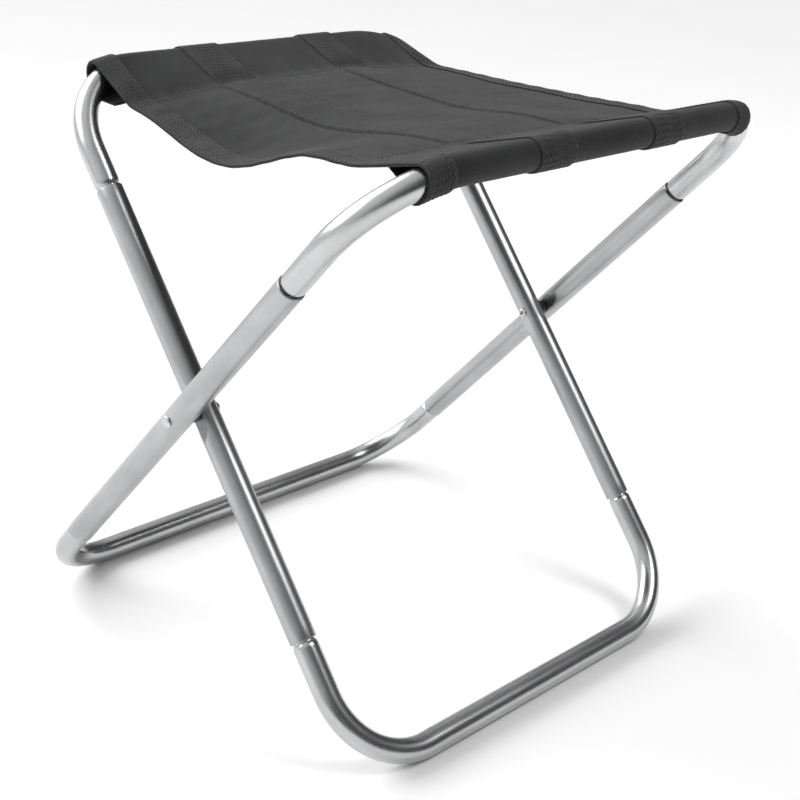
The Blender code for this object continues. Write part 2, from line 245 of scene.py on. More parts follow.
def leg_tube(name, node, lean_to, y, pressed_side, up, down, body):
    """A pipe along a straight line. On the pressed side no point reaches past a flat, which fades out
    along the tube: reach = smooth minimum of reach and radius - depth * fade."""
    stations = leg_stations(up, down)
    s, r = pipe_outline(stations, np.full(len(stations), LEG_R), LEG_WALL)
    turn = np.linspace(0.0, 2.0 * np.pi, AROUND + 1)
    along, square = leg_axes(lean_to)
    reach = r[:, None] * np.cos(turn[:-1]) * pressed_side
    sideways = r[:, None] * np.sin(turn[:-1])
    fade = 1.0 - ease((np.abs(s) - FLAT_HALF) / FLAT_RUNOUT)
    limit = (r - FLAT_DEPTH * fade)[:, None]
    soft = 0.00022
    pressed = -soft * np.logaddexp(-reach / soft, -limit / soft)
    reach = reach + (pressed - reach) * np.minimum(1.0, 4.0 * fade)[:, None]
    points = PIVOT + s[:, None, None] * along + sideways[..., None] * square
    points[..., 1] = y + reach * pressed_side
    uv = np.stack(np.broadcast_arrays(turn * LEG_R, np.append(s, s[0])[:, None]), -1)
    mesh = grid_mesh(name, points, uv, ring_i=True, ring_j=True)
    leg = add_piece(name, mesh, satin_aluminium)
    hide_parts(node)
    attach(leg, body)


for side_name, side in (("left", -1.0), ("right", 1.0)):
    leg_tube(f"outer_leg_tube_{side_name}", f"outer_leg_{side_name}", 1.0, side * OUTER_Y, -side,
             OUTER_UP, OUTER_DOWN, "outer_frame")
    leg_tube(f"inner_leg_tube_{side_name}", f"inner_leg_{side_name}", -1.0, side * INNER_Y, side,
             INNER_UP, INNER_DOWN, "inner_frame")

# ---- Bows ---------------------------------------------------------------------------------------
# Four U-shaped ends of slightly thinner aluminium tube, polished before anodising, so they are brighter
# than the legs. Each end is drawn down to a neck with a short round shoulder and pressed into a leg.
BOW_R = 0.0076
BOW_WALL = 0.0011
NECK_R = 0.0065
NECK_IN = 0.020
NECK_SHOWN = 0.0009
SHOULDER = 0.0034
OUTER_BEND = 0.056
INNER_BEND = 0.052
FLOOR_BEND = 0.050
OUTER_SEAT_BAR = 0.2325
INNER_SEAT_BAR = 0.2225
FLOOR_BAR = 0.2257
BEND_OVAL = 0.05

bright_aluminium = drawn_aluminium(
    "bright_aluminium", (0.46, 0.465, 0.47), (0.57, 0.575, 0.58), 0.21, 0.32, 0.35)


def bow_stations(arm, bend, total):
    """Close together over the shoulder and round the bends."""
    quarter = 0.5 * np.pi * bend
    shoulder = NECK_IN + NECK_SHOWN
    half = np.concatenate([
        np.linspace(0.0, shoulder - 0.001, 5)[:-1],
        np.linspace(shoulder - 0.001, shoulder + SHOULDER, 15)[:-1],
        np.linspace(shoulder + SHOULDER, arm, 6)[:-1],
        np.linspace(arm, arm + quarter, 41)[:-1],
        np.linspace(arm + quarter, 0.5 * total, 8)])
    return np.concatenate([half, (total - half[:-1])[::-1]])


def bow(name, lean_to, half_width, bar, mouth, bend, body):
    """A pipe along a U: up an arm, round a quarter circle, along the bar, and the same again mirrored.

    The radius follows the distance from the nearer end: neck, then a quarter-wave shoulder, then full tube.
    Bends are a little oval, thinner in the plane of the U.
    """
    down = -1.0 if bar < 0.0 else 1.0
    start = mouth - NECK_IN
    arm = abs(bar) - bend - start
    quarter = 0.5 * np.pi * bend
    total = 2.0 * (arm + quarter + half_width - bend)
    stations = bow_stations(arm, bend, total)
    from_end = np.minimum(stations, total - stations)
    rise = np.clip((from_end - NECK_IN - NECK_SHOWN) / SHOULDER, 0.0, 1.0)
    radii = NECK_R + (BOW_R - NECK_R) * np.sin(0.5 * np.pi * rise) ** 0.8
    s, r = pipe_outline(stations, radii, BOW_WALL)
    half = np.minimum(s, total - s)
    side = np.where(s < 0.5 * total, -1.0, 1.0)
    turn = np.clip((half - arm) / bend, 0.0, 0.5 * np.pi)
    past_bend = np.maximum(half - arm - quarter, 0.0)
    across = side * (half_width - bend + bend * np.cos(turn) - past_bend)
    height = start + np.minimum(half, arm) + bend * np.sin(turn)
    along, square = leg_axes(lean_to)
    y_axis = np.array([0.0, 1.0, 0.0])
    middle = PIVOT + across[:, None] * y_axis + (down * height)[:, None] * along
    outward = (side * np.cos(turn))[:, None] * y_axis + (down * np.sin(turn))[:, None] * along
    angle = np.linspace(0.0, 2.0 * np.pi, AROUND + 1)
    oval = 1.0 - BEND_OVAL * np.sin(2.0 * turn)
    points = (middle[:, None] + (r * oval)[:, None, None] * np.cos(angle[:-1])[:, None] * outward[:, None]
              + r[:, None, None] * np.sin(angle[:-1])[:, None] * square)
    points[..., 2] = np.maximum(points[..., 2], 0.0)
    uv = np.stack(np.broadcast_arrays(angle * BOW_R, np.append(s, s[0])[:, None]), -1)
    piece = add_piece(name, grid_mesh(name, points, uv, ring_i=True, ring_j=True), bright_aluminium)
    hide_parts(name.replace("_tube", ""))
    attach(piece, body)


bow("outer_top_bow_tube", 1.0, OUTER_Y, OUTER_SEAT_BAR, OUTER_UP, OUTER_BEND, "outer_frame")
bow("outer_bottom_bow_tube", 1.0, OUTER_Y, -FLOOR_BAR, OUTER_DOWN, FLOOR_BEND, "outer_frame")
bow("inner_top_bow_tube", -1.0, INNER_Y, INNER_SEAT_BAR, INNER_UP, INNER_BEND, "inner_frame")
bow("inner_bottom_bow_tube", -1.0, INNER_Y, -FLOOR_BAR, INNER_DOWN, FLOOR_BEND, "inner_frame")

# ---- Pivot spacers ------------------------------------------------------------------------------
# Two black nylon rings between the pressed flats of each crossing. They keep the anodised tubes from
# rubbing when the stool folds. Each is moulded with a small chamfer and sits loose on its rivet.
SPACER_R = 0.0050
SPACER_BORE = 0.0023
SPACER_HALF = 0.5 * (OUTER_Y - INNER_Y) - (LEG_R - FLAT_DEPTH) - 0.0002
SPACER_CHAMFER = 0.0004


def moulded_nylon():
    """Black nylon with a fine moulded grain."""
    material, nodes, links, shader, cut = new_material("moulded_nylon", (0.02, 0.02, 0.02), 0.5, 0.0)
    grain = scaled_noise(nodes, links, cut.outputs["UV"], (3000.0, 3000.0, 1.0), 3.0)
    links.new(ranged(nodes, links, grain, 0.38, 0.60), shader.inputs["Roughness"])
    two_tone(nodes, links, grain, (0.012, 0.012, 0.013), (0.030, 0.030, 0.031), shader.inputs["Base Color"])
    bumped(nodes, links, shader, grain, 0.00005, 0.4)
    return material


def turned(name, profile, side, y, around, closed):
    """A profile of (radius, distance towards the outside) carried round the pivot line."""
    radius, out = np.array(profile).T
    angle = np.linspace(0.0, 2.0 * np.pi, around + 1)
    ring = radius[:, None, None] * np.stack([np.cos(angle[:-1]), 0.0 * angle[:-1], np.sin(angle[:-1])], -1)
    points = PIVOT + ring
    points[..., 1] = y + side * out[:, None]
    run = np.concatenate([[0.0], np.cumsum(np.hypot(np.diff(radius), np.diff(out)))])
    run = np.append(run, 1.1 * run[-1]) if closed else run
    uv = np.stack(np.broadcast_arrays(angle * radius.max(), run[:, None]), -1)
    mesh = grid_mesh(name, points, uv, ring_i=closed, ring_j=True)
    if not closed:
        work = bmesh.new()
        work.from_mesh(mesh)
        bmesh.ops.remove_doubles(work, verts=work.verts, dist=1e-7)
        work.to_mesh(mesh)
        work.free()
    mesh.set_sharp_from_angle(angle=np.radians(50))
    return mesh


nylon = moulded_nylon()
for side_name, side in (("left", -1.0), ("right", 1.0)):
    ring_profile = [
        (SPACER_BORE, SPACER_HALF), (SPACER_R - SPACER_CHAMFER, SPACER_HALF),
        (SPACER_R, SPACER_HALF - SPACER_CHAMFER), (SPACER_R, SPACER_CHAMFER - SPACER_HALF),
        (SPACER_R - SPACER_CHAMFER, -SPACER_HALF), (SPACER_BORE, -SPACER_HALF)]
    spacer_y = side * 0.5 * (OUTER_Y + INNER_Y)
    spacer_mesh = turned(f"spacer_ring_{side_name}", ring_profile, side, spacer_y, 40, True)
    spacer = add_piece(f"spacer_ring_{side_name}", spacer_mesh, nylon)
    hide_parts(f"pivot_spacer_{side_name}")
    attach(spacer, "outer_frame")

# ---- Pivot rivets -------------------------------------------------------------------------------
# Two semi-tubular rivets, one through each crossing. The low domed head lies on the outer leg. The
# hollow tail comes out on the inner leg, where a tool has rolled it over into a small open ring.
RIVET_R = 0.0020
HEAD_R = 0.0038
HEAD_RISE = 0.0017
TAIL_R = 0.0031
TAIL_RISE = 0.0012
TAIL_BORE = 0.0011
HEAD_EDGE = 0.0003


def rivet_profile():
    """Radius and distance outwards, from the top of the dome to the bottom of the hollow in the tail."""
    turn = np.linspace(0.0, 0.5 * np.pi, 13)
    grip = OUTER_Y - INNER_Y + 2.0 * LEG_R
    dome = np.stack([HEAD_R * np.sin(turn), HEAD_EDGE + (HEAD_RISE - HEAD_EDGE) * np.cos(turn)], -1)
    stem = np.array([(HEAD_R - 0.0002, 0.0), (RIVET_R, 0.0), (RIVET_R, -grip), (TAIL_R - 0.0002, -grip)])
    roll = 0.5 * (TAIL_R - TAIL_BORE)
    bend = np.linspace(0.0, np.pi, 11)
    rolled = np.stack([TAIL_BORE + roll + roll * np.cos(bend), -grip - 0.0002 - TAIL_RISE * np.sin(bend)], -1)
    hollow = np.array([(0.0010, -grip + 0.0022), (0.0, -grip + 0.0025)])
    return np.concatenate([dome, stem, rolled, hollow])


rivet_aluminium = drawn_aluminium("rivet_aluminium", (0.52, 0.52, 0.53), (0.66, 0.66, 0.67), 0.22, 0.36, 0.5)
for side_name, side in (("left", -1.0), ("right", 1.0)):
    rivet_mesh = turned(f"rivet_{side_name}", rivet_profile(), side, side * (OUTER_Y + LEG_R), 40, False)
    rivet = add_piece(f"rivet_{side_name}", rivet_mesh, rivet_aluminium)
    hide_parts(f"pivot_rivet_{side_name}")
    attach(rivet, "outer_frame")

# ---- Seat cloth ---------------------------------------------------------------------------------
# One piece of dark woven polyester hangs between the two upper bars. Each end is carried over its bar,
# round the outside and back underneath, and is sewn up to the seat about 50 mm in from the bar. That
# leaves an open pocket round each bar.
CLOTH = 0.0008
CLOTH_R = BOW_R + 0.00015 + 0.5 * CLOTH
OUTER_SEAM_X, INNER_SEAM_X = 0.0975, -0.1065
SEAM_OVERLAP = 0.004
# How far the turned-back layer's corners are cut back, so that they do not show below the side edges.
CORNER_CUT = {"outer": 0.038, "inner": 0.022}
# How far the pockets' ends stand off where the bars bend away: 0 follows the bar, 1 stays straight.
OUTER_LOOSE, INNER_LOOSE = 0.45, 0.60
# The lines that run from bar to bar, given where each meets the inner bar and the outer bar: side edge,
# edge strap's inner edge, both edges of the two middle straps, edge strap's inner edge, side edge.
LINES_AT_INNER = np.array([-0.1205, -0.1045, -0.0560, -0.0260, 0.0440, 0.0715, 0.1235, 0.1390])
LINES_AT_OUTER = np.array([-0.1345, -0.1190, -0.0590, -0.0310, 0.0350, 0.0615, 0.1160, 0.1310])
LINES = 0.5 * (LINES_AT_INNER + LINES_AT_OUTER)
BAR_X = {
    "outer": PIVOT[0] + OUTER_SEAT_BAR * np.sin(LEAN),
    "inner": PIVOT[0] - INNER_SEAT_BAR * np.sin(LEAN),
}
# Heights of the seams, and depths of the sag: at the right edge, more across the middle, more at the left.
OUTER_SEAM_Z, INNER_SEAM_Z = 0.3448, 0.3390
EDGE_SAG, MIDDLE_SAG, SLACK_SAG = 0.0010, 0.0042, 0.0137
# Small relief: the step over a strap under the cloth, a stitch line's groove, gathers, ripples at the
# seams, soft waves and fine creases.
STRAP_RISE, GROOVE, GATHER = 0.0011, 0.00075, 0.00010
RIPPLE, WAVE, CREASE = 0.00035, 0.00040, 0.00016
# Columns of points: each pocket's upper layer, its round, its lower layer, and the seat between the seams.
WRAP_UPPER, WRAP_ROUND, WRAP_LOWER, PANEL_COLUMNS = 26, 40, 22, 110
WRAP = WRAP_UPPER + WRAP_ROUND + WRAP_LOWER
BESIDE_LINE = np.array([-2.6, -1.7, -1.1, -0.6, 0.0, 0.6, 1.1, 1.7, 2.6]) * 0.001


def cloth_rows():
    """Row positions across the seat: even steps, with close ones beside every line."""
    beside = (LINES[:, None] + BESIDE_LINE).ravel()
    even = np.linspace(LINES[0], LINES[-1], 74)
    far_enough = np.abs(even[:, None] - beside).min(1) > 0.0012
    rows = np.sort(np.concatenate([beside, even[far_enough]]))
    return rows[(rows >= LINES[0]) & (rows <= LINES[-1])]


def row_y(rows, x):
    """Y of a row at x: a straight line from the inner bar to the outer bar."""
    share = np.clip((x - BAR_X["inner"]) / (BAR_X["outer"] - BAR_X["inner"]), 0.0, 1.0)
    inner, outer = np.interp(rows, LINES, LINES_AT_INNER), np.interp(rows, LINES, LINES_AT_OUTER)
    return inner + (outer - inner) * share


def panel_height(x, y):
    """Height of the cloth between the seams: a straight line from seam to seam, less a sag.

    Both seams dip towards the side edges. The sag is a lopsided cosine-squared bump, hardly there at the
    right edge, shallow across the middle, and deep at the left edge, which hangs slack.
    """
    outer_seam = OUTER_SEAM_Z - 0.0024 * (y / 0.13) ** 2 - 0.0012 * y / 0.13
    inner_seam = INNER_SEAM_Z - 0.0075 * ((y - 0.008) / 0.13) ** 2
    share = (x - INNER_SEAM_X) / (OUTER_SEAM_X - INNER_SEAM_X)
    slack = ease((-0.025 - y) / 0.103)
    depth = EDGE_SAG + MIDDLE_SAG * ease((0.138 - y) / 0.095) + SLACK_SAG * slack
    from_lowest = x + 0.005 + 0.008 * slack
    half_width = np.where(from_lowest < 0.0, 0.105, 0.090 - 0.007 * slack)
    bump = np.cos(0.5 * np.pi * np.clip(from_lowest / half_width, -1.0, 1.0)) ** 2
    return inner_seam + (outer_seam - inner_seam) * share - depth * bump


def round_the_bar(rows, side):
    """The pocket's path from the upper seam over the bar, round it, and back to the lower seam.

    In a plane at y the bar's section with its cloth is an oval: its lower end follows the bar down the
    bend, and its upper end follows only in part. Scaled so that the oval is a unit circle, a seam lies at
    distance d from its middle, and a taut line leaves the circle arccos(1/d) away from the seam.
    """
    lean_to, half_width, bar, bend, loose, seam_x = {
        "outer": (1.0, OUTER_Y, OUTER_SEAT_BAR, OUTER_BEND, OUTER_LOOSE, OUTER_SEAM_X),
        "inner": (-1.0, INNER_Y, INNER_SEAT_BAR, INNER_BEND, INNER_LOOSE, INNER_SEAM_X)}[side]
    y_bar, y_seam = row_y(rows, BAR_X[side]), row_y(rows, seam_x)
    turn = np.arcsin(np.clip((np.abs(y_bar) - half_width + bend) / bend, 0.0, 0.94))
    drop = bend * (1.0 - np.cos(turn))
    high, low = bar + CLOTH_R - (1.0 - loose) * drop, bar - drop - CLOTH_R / np.cos(turn)
    middle, long_r = 0.5 * (high + low), 0.5 * (high - low)
    sin_lean, cos_lean = lean_to * np.sin(LEAN), np.cos(LEAN)
    middle_x, middle_z = PIVOT[0] + middle * sin_lean, PIVOT[2] + middle * cos_lean

    def leaving_angle(x, z, turned_back):
        """Angle on the oval where a taut line from (x, z) touches it, on one side or the other."""
        dx, dz = x - middle_x, z - middle_z
        square = (lean_to * dx * cos_lean - dz * np.sin(LEAN)) / CLOTH_R
        along = (dx * sin_lean + dz * cos_lean) / long_r
        away = np.arccos(1.0 / np.hypot(square, along))
        toward = np.arctan2(along, square)
        return toward + 2.0 * np.pi - away if turned_back else toward + away

    corner = ease((y_bar - y_bar[0]) / 0.030) * ease((y_bar[-1] - y_bar) / 0.030)
    under_x = seam_x + lean_to * (CORNER_CUT[side] * (1.0 - corner) - SEAM_OVERLAP)
    top_z = panel_height(seam_x, y_seam)
    under_z = panel_height(under_x, y_seam) - CLOTH - 0.0002
    first, last = leaving_angle(seam_x, top_z, True), leaving_angle(under_x, under_z, False)
    first = np.where(first - last > 2.0 * np.pi, first - 2.0 * np.pi, first)
    angle = first[:, None] + (last - first)[:, None] * np.linspace(0.0, 1.0, WRAP_ROUND)
    along, square = long_r[:, None] * np.sin(angle), CLOTH_R * np.cos(angle)
    arc_x = middle_x[:, None] + along * sin_lean + square * lean_to * cos_lean
    arc_z = middle_z[:, None] + along * cos_lean - square * np.sin(LEAN)
    lead = np.linspace(0.0, 1.0, WRAP_UPPER, endpoint=False)
    tail = np.linspace(0.0, 1.0, WRAP_LOWER + 1)[1:]
    x = np.concatenate([seam_x + (arc_x[:, :1] - seam_x) * lead, arc_x,
                        arc_x[:, -1:] + (under_x[:, None] - arc_x[:, -1:]) * tail], 1)
    z = np.concatenate([top_z[:, None] + (arc_z[:, :1] - top_z[:, None]) * lead, arc_z,
                        arc_z[:, -1:] + (under_z[:, None] - arc_z[:, -1:]) * tail], 1)
    away_from_seam = np.clip(np.abs(x - seam_x) / np.abs(BAR_X[side] - seam_x), 0.0, 1.0)
    y = y_seam[:, None] + (y_bar - y_seam)[:, None] * away_from_seam
    return np.stack([x, y, z], -1)


def surface_normals(points):
    """Unit normals of a grid: the cross product of its two directions, up on the seat's top."""
    normal = np.cross(np.gradient(points, axis=1), np.gradient(points, axis=0))
    return normal / np.linalg.norm(normal, axis=-1, keepdims=True)


def cloth_relief(points, rows):
    """Height of small shapes on the cloth: a step up over each middle strap, a bell-shaped groove at each
    stitch line, sine gathers along it, sine ripples that die away from the seams, and products of two
    sines for the soft waves and the fine creases."""
    x, y = points[..., 0], points[..., 1]
    on_panel = ease((x - INNER_SEAM_X) / 0.006) * ease((OUTER_SEAM_X - x) / 0.006)
    raised = sum(
        ease((rows - LINES[k]) / 0.0016 + 0.5) * ease((LINES[k + 1] - rows) / 0.0016 + 0.5) for k in (2, 4))
    near_line = np.abs(rows[:, None] - LINES[2:6])
    groove = np.exp(-(near_line / 0.0013) ** 2).sum(1)
    gather = np.exp(-(near_line / 0.0050) ** 2).sum(1)
    seam_distance = np.minimum(np.abs(x - OUTER_SEAM_X), np.abs(x - INNER_SEAM_X))
    ripple_phase = 2.0 * np.pi * y / 0.0170 + 1.5 * np.sin(y / 0.021)
    ripple = RIPPLE * np.exp(-seam_distance / 0.014) * np.sin(ripple_phase)
    waves = WAVE * np.sin(2.0 * np.pi * x / 0.080 + 11.0 * y) * np.sin(2.0 * np.pi * y / 0.057 + 0.6)
    creases = CREASE * np.sin(2.0 * np.pi * (x + 0.35 * y) / 0.0170) * np.sin(2.0 * np.pi * y / 0.041)
    gathers = GATHER * gather * np.sin(2.0 * np.pi * x / 0.0085 + 40.0 * y)
    lines = STRAP_RISE * raised - GROOVE * groove + gathers
    return on_panel * (lines + waves + creases) + ripple * ease((0.352 - points[..., 2]) / 0.006)


def run_along(path):
    """Distance along a path of points, from its first one to each."""
    return np.concatenate([[0.0], np.cumsum(np.linalg.norm(np.diff(path, axis=0), axis=-1))])


def cloth_surface(rows):
    """Middle surface of the cloth, and its normals, as (columns, rows, 3): from the lower seam at the outer
    bar, round that bar, across the seat, and round the inner bar. The folds at the upper seams are rounded
    by averaging each point's height with its neighbours'."""
    panel_x = np.linspace(OUTER_SEAM_X, INNER_SEAM_X, PANEL_COLUMNS)[1:-1]
    x = np.broadcast_to(panel_x, (len(rows), PANEL_COLUMNS - 2))
    y = row_y(rows[:, None], x)
    panel = np.stack([x, y, panel_height(x, y)], -1)
    outer, inner = round_the_bar(rows, "outer")[:, ::-1], round_the_bar(rows, "inner")
    points = np.concatenate([outer, panel, inner], 1)
    columns = np.arange(points.shape[1])
    seam_columns = np.array([outer.shape[1] - 1, outer.shape[1] + PANEL_COLUMNS - 2])
    near_seam = np.exp(-((columns[:, None] - seam_columns) / 4.5) ** 2).sum(1)[1:-1]
    z = points[..., 2]
    for _ in range(16):
        z[:, 1:-1] += 0.45 * near_seam * (0.5 * (z[:, :-2] + z[:, 2:]) - z[:, 1:-1])
    points = points.transpose(1, 0, 2)
    normal = surface_normals(points)
    points = points + normal * cloth_relief(points, rows)[..., None]
    return points, surface_normals(points)


def thick_sheet(name, points, thickness, material, rim_steps=3):
    """A sheet with a rounded rim: the middle surface is moved half the thickness both ways along its
    normals, and half circles join the two faces along the side edges. Its ends are closed by thin faces."""
    normal = surface_normals(points)
    sideways = np.gradient(points, axis=1)
    sideways /= np.linalg.norm(sideways, axis=-1, keepdims=True)
    h = 0.5 * thickness
    turn = np.linspace(0.0, np.pi, rim_steps + 2)[1:-1, None, None]
    last_rim = points[:, -1] + h * (normal[:, -1] * np.cos(turn) + sideways[:, -1] * np.sin(turn))
    first_rim = points[:, 0] - h * (normal[:, 0] * np.cos(turn) + sideways[:, 0] * np.sin(turn))
    top, bottom = points + h * normal, (points - h * normal)[:, ::-1]
    ring = np.concatenate([top, last_rim.swapaxes(0, 1), bottom, first_rim.swapaxes(0, 1)], 1)
    u = run_along(points[:, points.shape[1] // 2])
    v_line = run_along(points[len(points) // 2])
    v = np.concatenate([v_line, np.full(rim_steps, v_line[-1]), v_line[::-1], np.zeros(rim_steps + 1)])
    uv = np.stack(np.broadcast_arrays(u[:, None], v), -1)
    return add_piece(name, grid_mesh(name, ring, uv, ring_j=True, caps=True), material)


def woven_polyester(name, dark, light, pitch_along, pitch_across, depth, sheen):
    """Plain weave: the product of two sine waves, one along and one across, with fibre noise on it. The colour
    follows this height: painted shade in the weave's hollows, painted highlight on its crests, and cloudy tone
    at random.
    """
    material, nodes, links, shader, cut = new_material(name, light, 0.85, 0.0)
    uv = cut.outputs["UV"]
    split = nodes.new("ShaderNodeSeparateXYZ")
    links.new(uv, split.inputs["Vector"])
    waves = []
    for axis, pitch in (("X", pitch_along), ("Y", pitch_across)):
        scaled = nodes.new("ShaderNodeMath")
        scaled.operation = "MULTIPLY"
        scaled.inputs[1].default_value = 2.0 * np.pi / pitch
        links.new(split.outputs[axis], scaled.inputs[0])
        wave = nodes.new("ShaderNodeMath")
        wave.operation = "SINE"
        links.new(scaled.outputs["Value"], wave.inputs[0])
        waves.append(wave.outputs["Value"])
    weave = nodes.new("ShaderNodeMath")
    weave.operation = "MULTIPLY"
    links.new(waves[0], weave.inputs[0])
    links.new(waves[1], weave.inputs[1])
    fuzz = scaled_noise(nodes, links, uv, (640.0, 720.0, 1.0), 4.0)
    cloudy = scaled_noise(nodes, links, uv, (34.0, 26.0, 1.0), 6.0)
    height = nodes.new("ShaderNodeMath")
    height.operation = "MULTIPLY_ADD"
    height.inputs[1].default_value = 0.35
    links.new(weave.outputs["Value"], height.inputs[0])
    links.new(fuzz, height.inputs[2])
    # Colour from the weave's height: painted shade in its hollows and painted highlight on its crests, plus
    # random cloudy tone.
    weave_shade_and_tone = nodes.new("ShaderNodeMath")
    weave_shade_and_tone.operation = "MULTIPLY_ADD"
    weave_shade_and_tone.inputs[1].default_value = 0.55
    links.new(height.outputs["Value"], weave_shade_and_tone.inputs[0])
    links.new(ranged(nodes, links, cloudy, -0.05, 0.50), weave_shade_and_tone.inputs[2])
    two_tone(nodes, links, weave_shade_and_tone.outputs["Value"], dark, light, shader.inputs["Base Color"])
    links.new(ranged(nodes, links, fuzz, 0.72, 0.95), shader.inputs["Roughness"])
    bumped(nodes, links, shader, height.outputs["Value"], depth, 0.9)
    shader.inputs["Sheen Weight"].default_value = sheen
    shader.inputs["Sheen Roughness"].default_value = 0.5
    shader.inputs["Specular IOR Level"].default_value = 0.2
    return material


def bend_with_fold(piece):
    """Bakes the piece's placement into its mesh; it does not make the piece bend or turn with the fold."""
    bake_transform(piece)


seat_weave = woven_polyester(
    "seat_weave", (0.0035, 0.0037, 0.004), (0.029, 0.030, 0.0305), 0.0015, 0.0015, 0.00022, 0.12)
cloth_points, cloth_normals = cloth_surface(cloth_rows())
seat_cloth = thick_sheet("seat_cloth", cloth_points, CLOTH, seat_weave)
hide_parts("seat_panel", "seat_pocket_outer", "seat_pocket_inner")
bend_with_fold(seat_cloth)

# ---- Webbing straps -----------------------------------------------------------------------------
# Four woven polyester straps carry the sitter's weight. The two at the side edges are sewn on top of the
# cloth all the way. The two in the middle run under the seat, wrap round the outside of each pocket, and
# are tucked into the pocket's seam. The webbing is coarse, with raised ribs along its length.
STRAP = 0.0009
OFF_CLOTH = 0.5 * CLOTH + 0.5 * STRAP + 0.0001
STRAP_INSET = 0.0003
STRAP_RIB = 0.0024
STRAP_RELIEF = 0.00022
STRAP_STEP = 0.00062
STRAP_ROWS = 15
TUCKED = 9

strap_weave = woven_polyester(
    "strap_weave", (0.001, 0.001, 0.0012), (0.052, 0.053, 0.054), 1.5 * STRAP_RIB, STRAP_RIB, 0.00040, 0.12)


def strap_path(first, last, on_top):
    """A strap's middle surface: the cloth's surface, moved outwards. A middle strap's seat stretch is moved
    inwards instead, to the underside, and its wraps are turned end for end to join it. A middle strap's ends
    sink into the cloth over TUCKED columns."""
    rows = np.linspace(LINES[first] + STRAP_INSET, LINES[last] - STRAP_INSET, STRAP_ROWS)
    points, normal = cloth_surface(rows)
    outside = points + OFF_CLOTH * normal
    if on_top:
        return outside
    under = (points - OFF_CLOTH * normal)[WRAP + 3:-WRAP - 3]
    sunk = (OFF_CLOTH + 0.0001) * (1.0 - ease(np.arange(WRAP) / TUCKED))[:, None, None]
    first_wrap = (outside[:WRAP] - sunk[::-1] * normal[:WRAP])[::-1][1:]
    last_wrap = (outside[-WRAP:] - sunk * normal[-WRAP:])[::-1][:-1]
    return np.concatenate([first_wrap, under, last_wrap])


def webbing_surface(path):
    """The path in small even steps, ribbed: a sine across the width, and half as much of the same sine
    times a slower sine along the length."""
    run = run_along(path[:, STRAP_ROWS // 2])
    width = np.linalg.norm(path[:, -1] - path[:, 0], axis=-1).max()
    count = int(width / STRAP_STEP)
    at = np.linspace(0.0, run[-1], int(run[-1] / STRAP_STEP))
    step = np.clip(np.searchsorted(run, at, side="right") - 1, 0, len(run) - 2)
    share = ((at - run[step]) / (run[step + 1] - run[step]))[:, None, None]
    long_way = path[step] * (1.0 - share) + path[step + 1] * share
    across = np.linspace(0.0, path.shape[1] - 1.0, count)
    row = np.minimum(across.astype(int), path.shape[1] - 2)
    share = (across - row)[:, None]
    points = long_way[:, row] * (1.0 - share) + long_way[:, row + 1] * share
    wave = 2.0 * np.pi / STRAP_RIB
    ribs = np.sin(wave * np.linspace(0.0, width, count)) * (1.0 + 0.5 * np.sin(wave * at / 1.5)[:, None])
    return points + (STRAP_RELIEF * ribs)[..., None] * surface_normals(points)


for strap_name, first, last, on_top in (
        ("edge_strap_left", 0, 1, True), ("middle_strap_left", 2, 3, False),
        ("middle_strap_right", 4, 5, False), ("edge_strap_right", 6, 7, True)):
    surface = webbing_surface(strap_path(first, last, on_top))
    strap = thick_sheet(f"{strap_name}_webbing", surface, STRAP, strap_weave)
    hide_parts(strap_name)
    bend_with_fold(strap)

# ---- Stitching ----------------------------------------------------------------------------------
# Dark polyester thread, locked every 3.4 mm. It runs along both edges of every strap and across the seat
# beside each pocket's seam. Each stitch is a short raised bar of thread.
PITCH = 0.0034
STITCH_LENGTH = 0.0026
THREAD_R = 0.00022
THREAD_SIDES = 6
FROM_EDGE = 0.0020


def stitches(path, normal):
    """Corners of one closed bar a stitch, evenly spaced along a path: rings about the path's direction,
    thinner at both ends, lying half in the surface."""
    run = run_along(path)
    at = np.arange(0.5 * PITCH, run[-1] - 0.5 * PITCH, PITCH)
    centre, up = (np.stack([np.interp(at, run, line[:, k]) for k in range(3)], 1) for line in (path, normal))
    ahead = np.stack([np.interp(at + 0.0005, run, path[:, k]) for k in range(3)], 1) - centre
    ahead /= np.linalg.norm(ahead, axis=1, keepdims=True)
    side = np.cross(up, ahead)
    angle = np.linspace(0.0, 2.0 * np.pi, THREAD_SIDES, endpoint=False)
    forward = STITCH_LENGTH * np.array([-0.5, -0.32, 0.32, 0.5])[:, None, None]
    thick = THREAD_R * np.array([0.45, 1.0, 1.0, 0.45])[:, None, None]
    place = centre[:, None, None] + up[:, None, None] * 0.3 * THREAD_R + ahead[:, None, None] * forward
    around = side[:, None, None] * np.cos(angle)[:, None] + up[:, None, None] * np.sin(angle)[:, None]
    return place + thick * around


def stitched_mesh(name, bars):
    """One mesh of all bars, each (4 rings, sides): quads between rings and one face over each end."""
    count, rings, sides = bars.shape[:3]
    ring, k = np.meshgrid(np.arange(rings - 1), np.arange(sides), indexing="ij")
    near, far = ring * sides + k, ring * sides + (k + 1) % sides
    quads = np.stack([near, near + sides, far + sides, far], -1).reshape(-1, 4)
    base = (np.arange(count) * rings * sides)[:, None, None]
    ends = np.stack([np.arange(sides), (rings - 1) * sides + np.arange(sides)[::-1]])
    faces = (base + quads).reshape(-1, 4).tolist() + (base + ends).reshape(-1, sides).tolist()
    mesh = bpy.data.meshes.new(name)
    mesh.from_pydata(bars.reshape(-1, 3).tolist(), [], faces)
    mesh.uv_layers.new(name="cut")
    corner = np.empty(len(mesh.loops), dtype=np.int32)
    mesh.loops.foreach_get("vertex_index", corner)
    ring_of = (corner // sides) % rings
    uv = np.stack([ring_of * STITCH_LENGTH / rings, (corner % sides) * THREAD_R], -1)
    mesh.uv_layers["cut"].data.foreach_set("uv", uv.astype(np.float32).ravel())
    mesh.shade_smooth()
    return mesh


